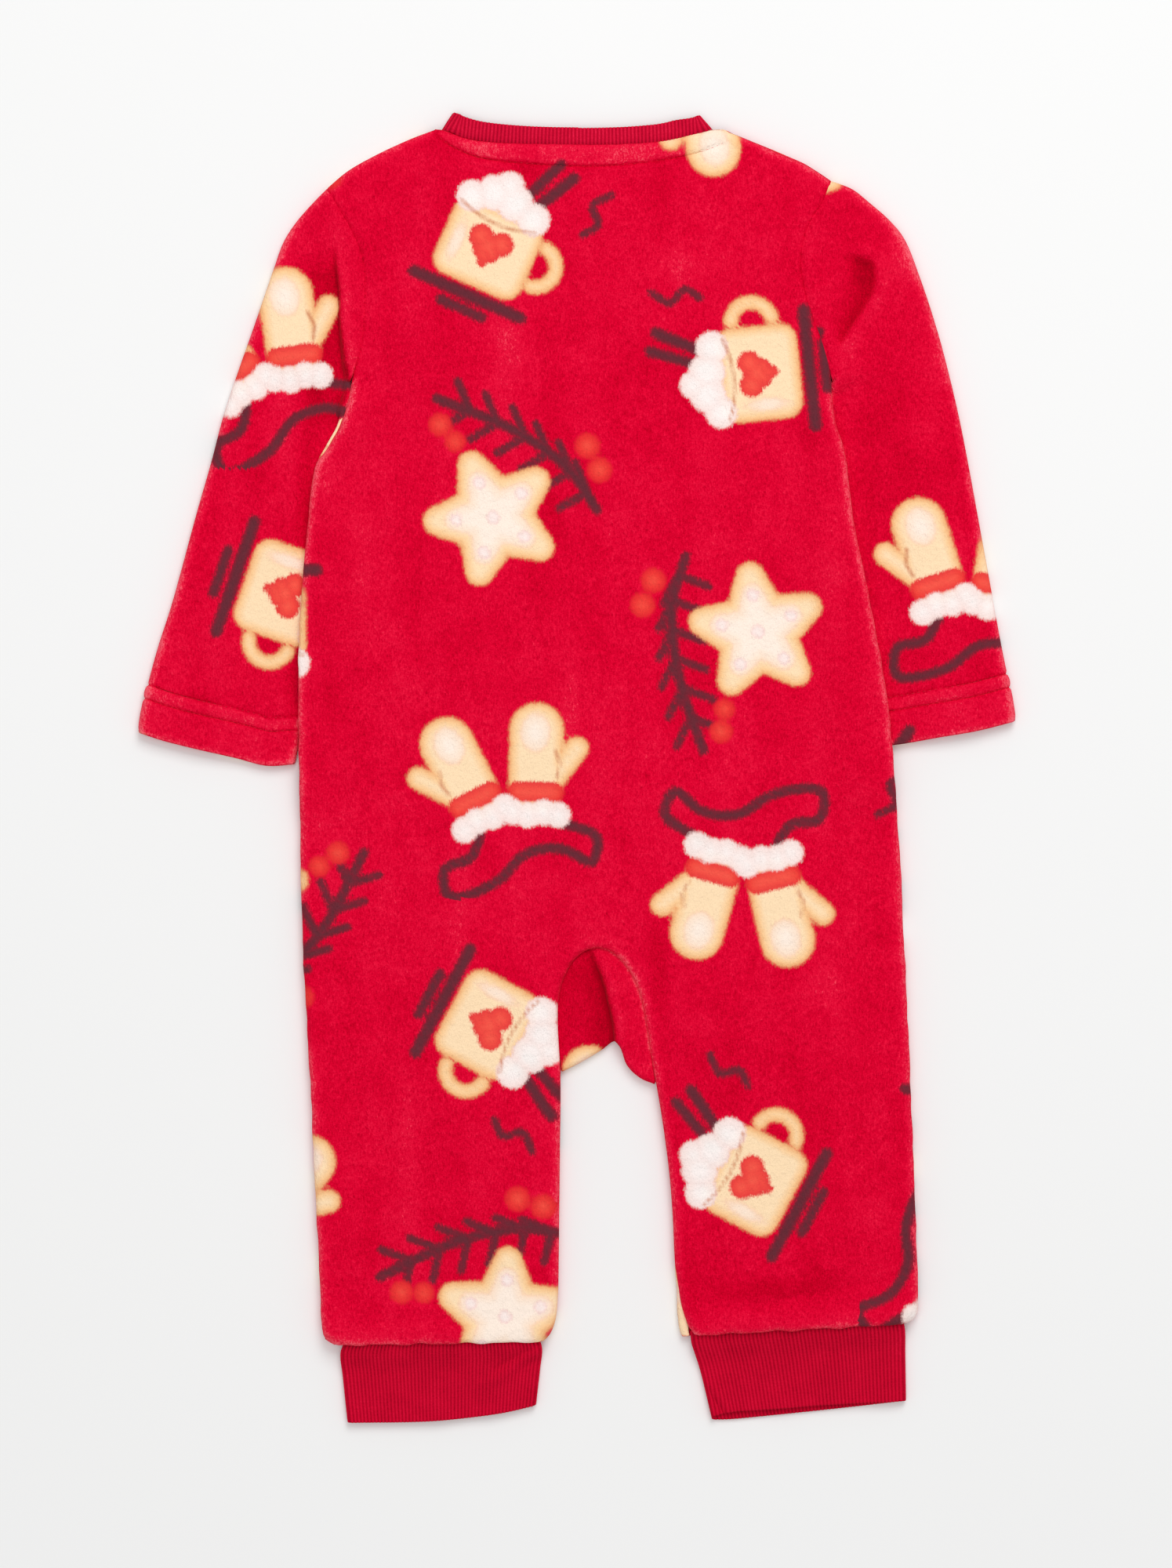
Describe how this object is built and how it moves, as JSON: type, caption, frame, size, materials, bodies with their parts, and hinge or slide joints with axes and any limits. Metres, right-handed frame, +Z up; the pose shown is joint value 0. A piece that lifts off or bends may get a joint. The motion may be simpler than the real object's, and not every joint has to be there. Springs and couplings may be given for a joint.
{
  "type": "baby's long-sleeved fleece onesie pyjama, laid flat face down",
  "caption": "Baby's long-sleeved fleece onesie pyjama with rib neck, rib leg cuffs, crotch gusset and front zip, lying flat with its back up.",
  "frame": {"origin": "middle of the footprint, on the surface that the garment lies on", "axes": "+Y from the feet to the neck, +Z up out of the surface towards the garment's back, +X to the wearer's right"},
  "size_m": [0.4023, 0.6, 0.0112],
  "materials": {
    "fleece": "brushed fleece with a short nap, red, printed with a winter design",
    "rib": "1x1 rib knit, matt, deeper red",
    "zip_tape": "woven tape and moulded coil, red",
    "zip_metal": "satin lacquered zinc"
  },
  "bodies": {
    "garment": {"back_panel": "fleece", "front_panel_left": "fleece", "front_panel_right": "fleece", "sleeve_left": "fleece", "sleeve_right": "fleece", "crotch_gusset": "fleece", "neck_band": "rib", "leg_cuff_left": "rib", "leg_cuff_right": "rib", "zip_stringer_left": "zip_tape", "zip_stringer_right": "zip_tape", "zip_slider": "zip_metal"},
    "pull": {"zip_pull": "zip_metal"}
  },
  "joints": [
    {"name": "pull_swing", "type": "hinge", "parent": "garment", "child": "pull", "pos_m": [-0.00018, 0.25, 0.0019], "axis": [1, 0, 0], "range_deg": [0, 180]}
  ]
}
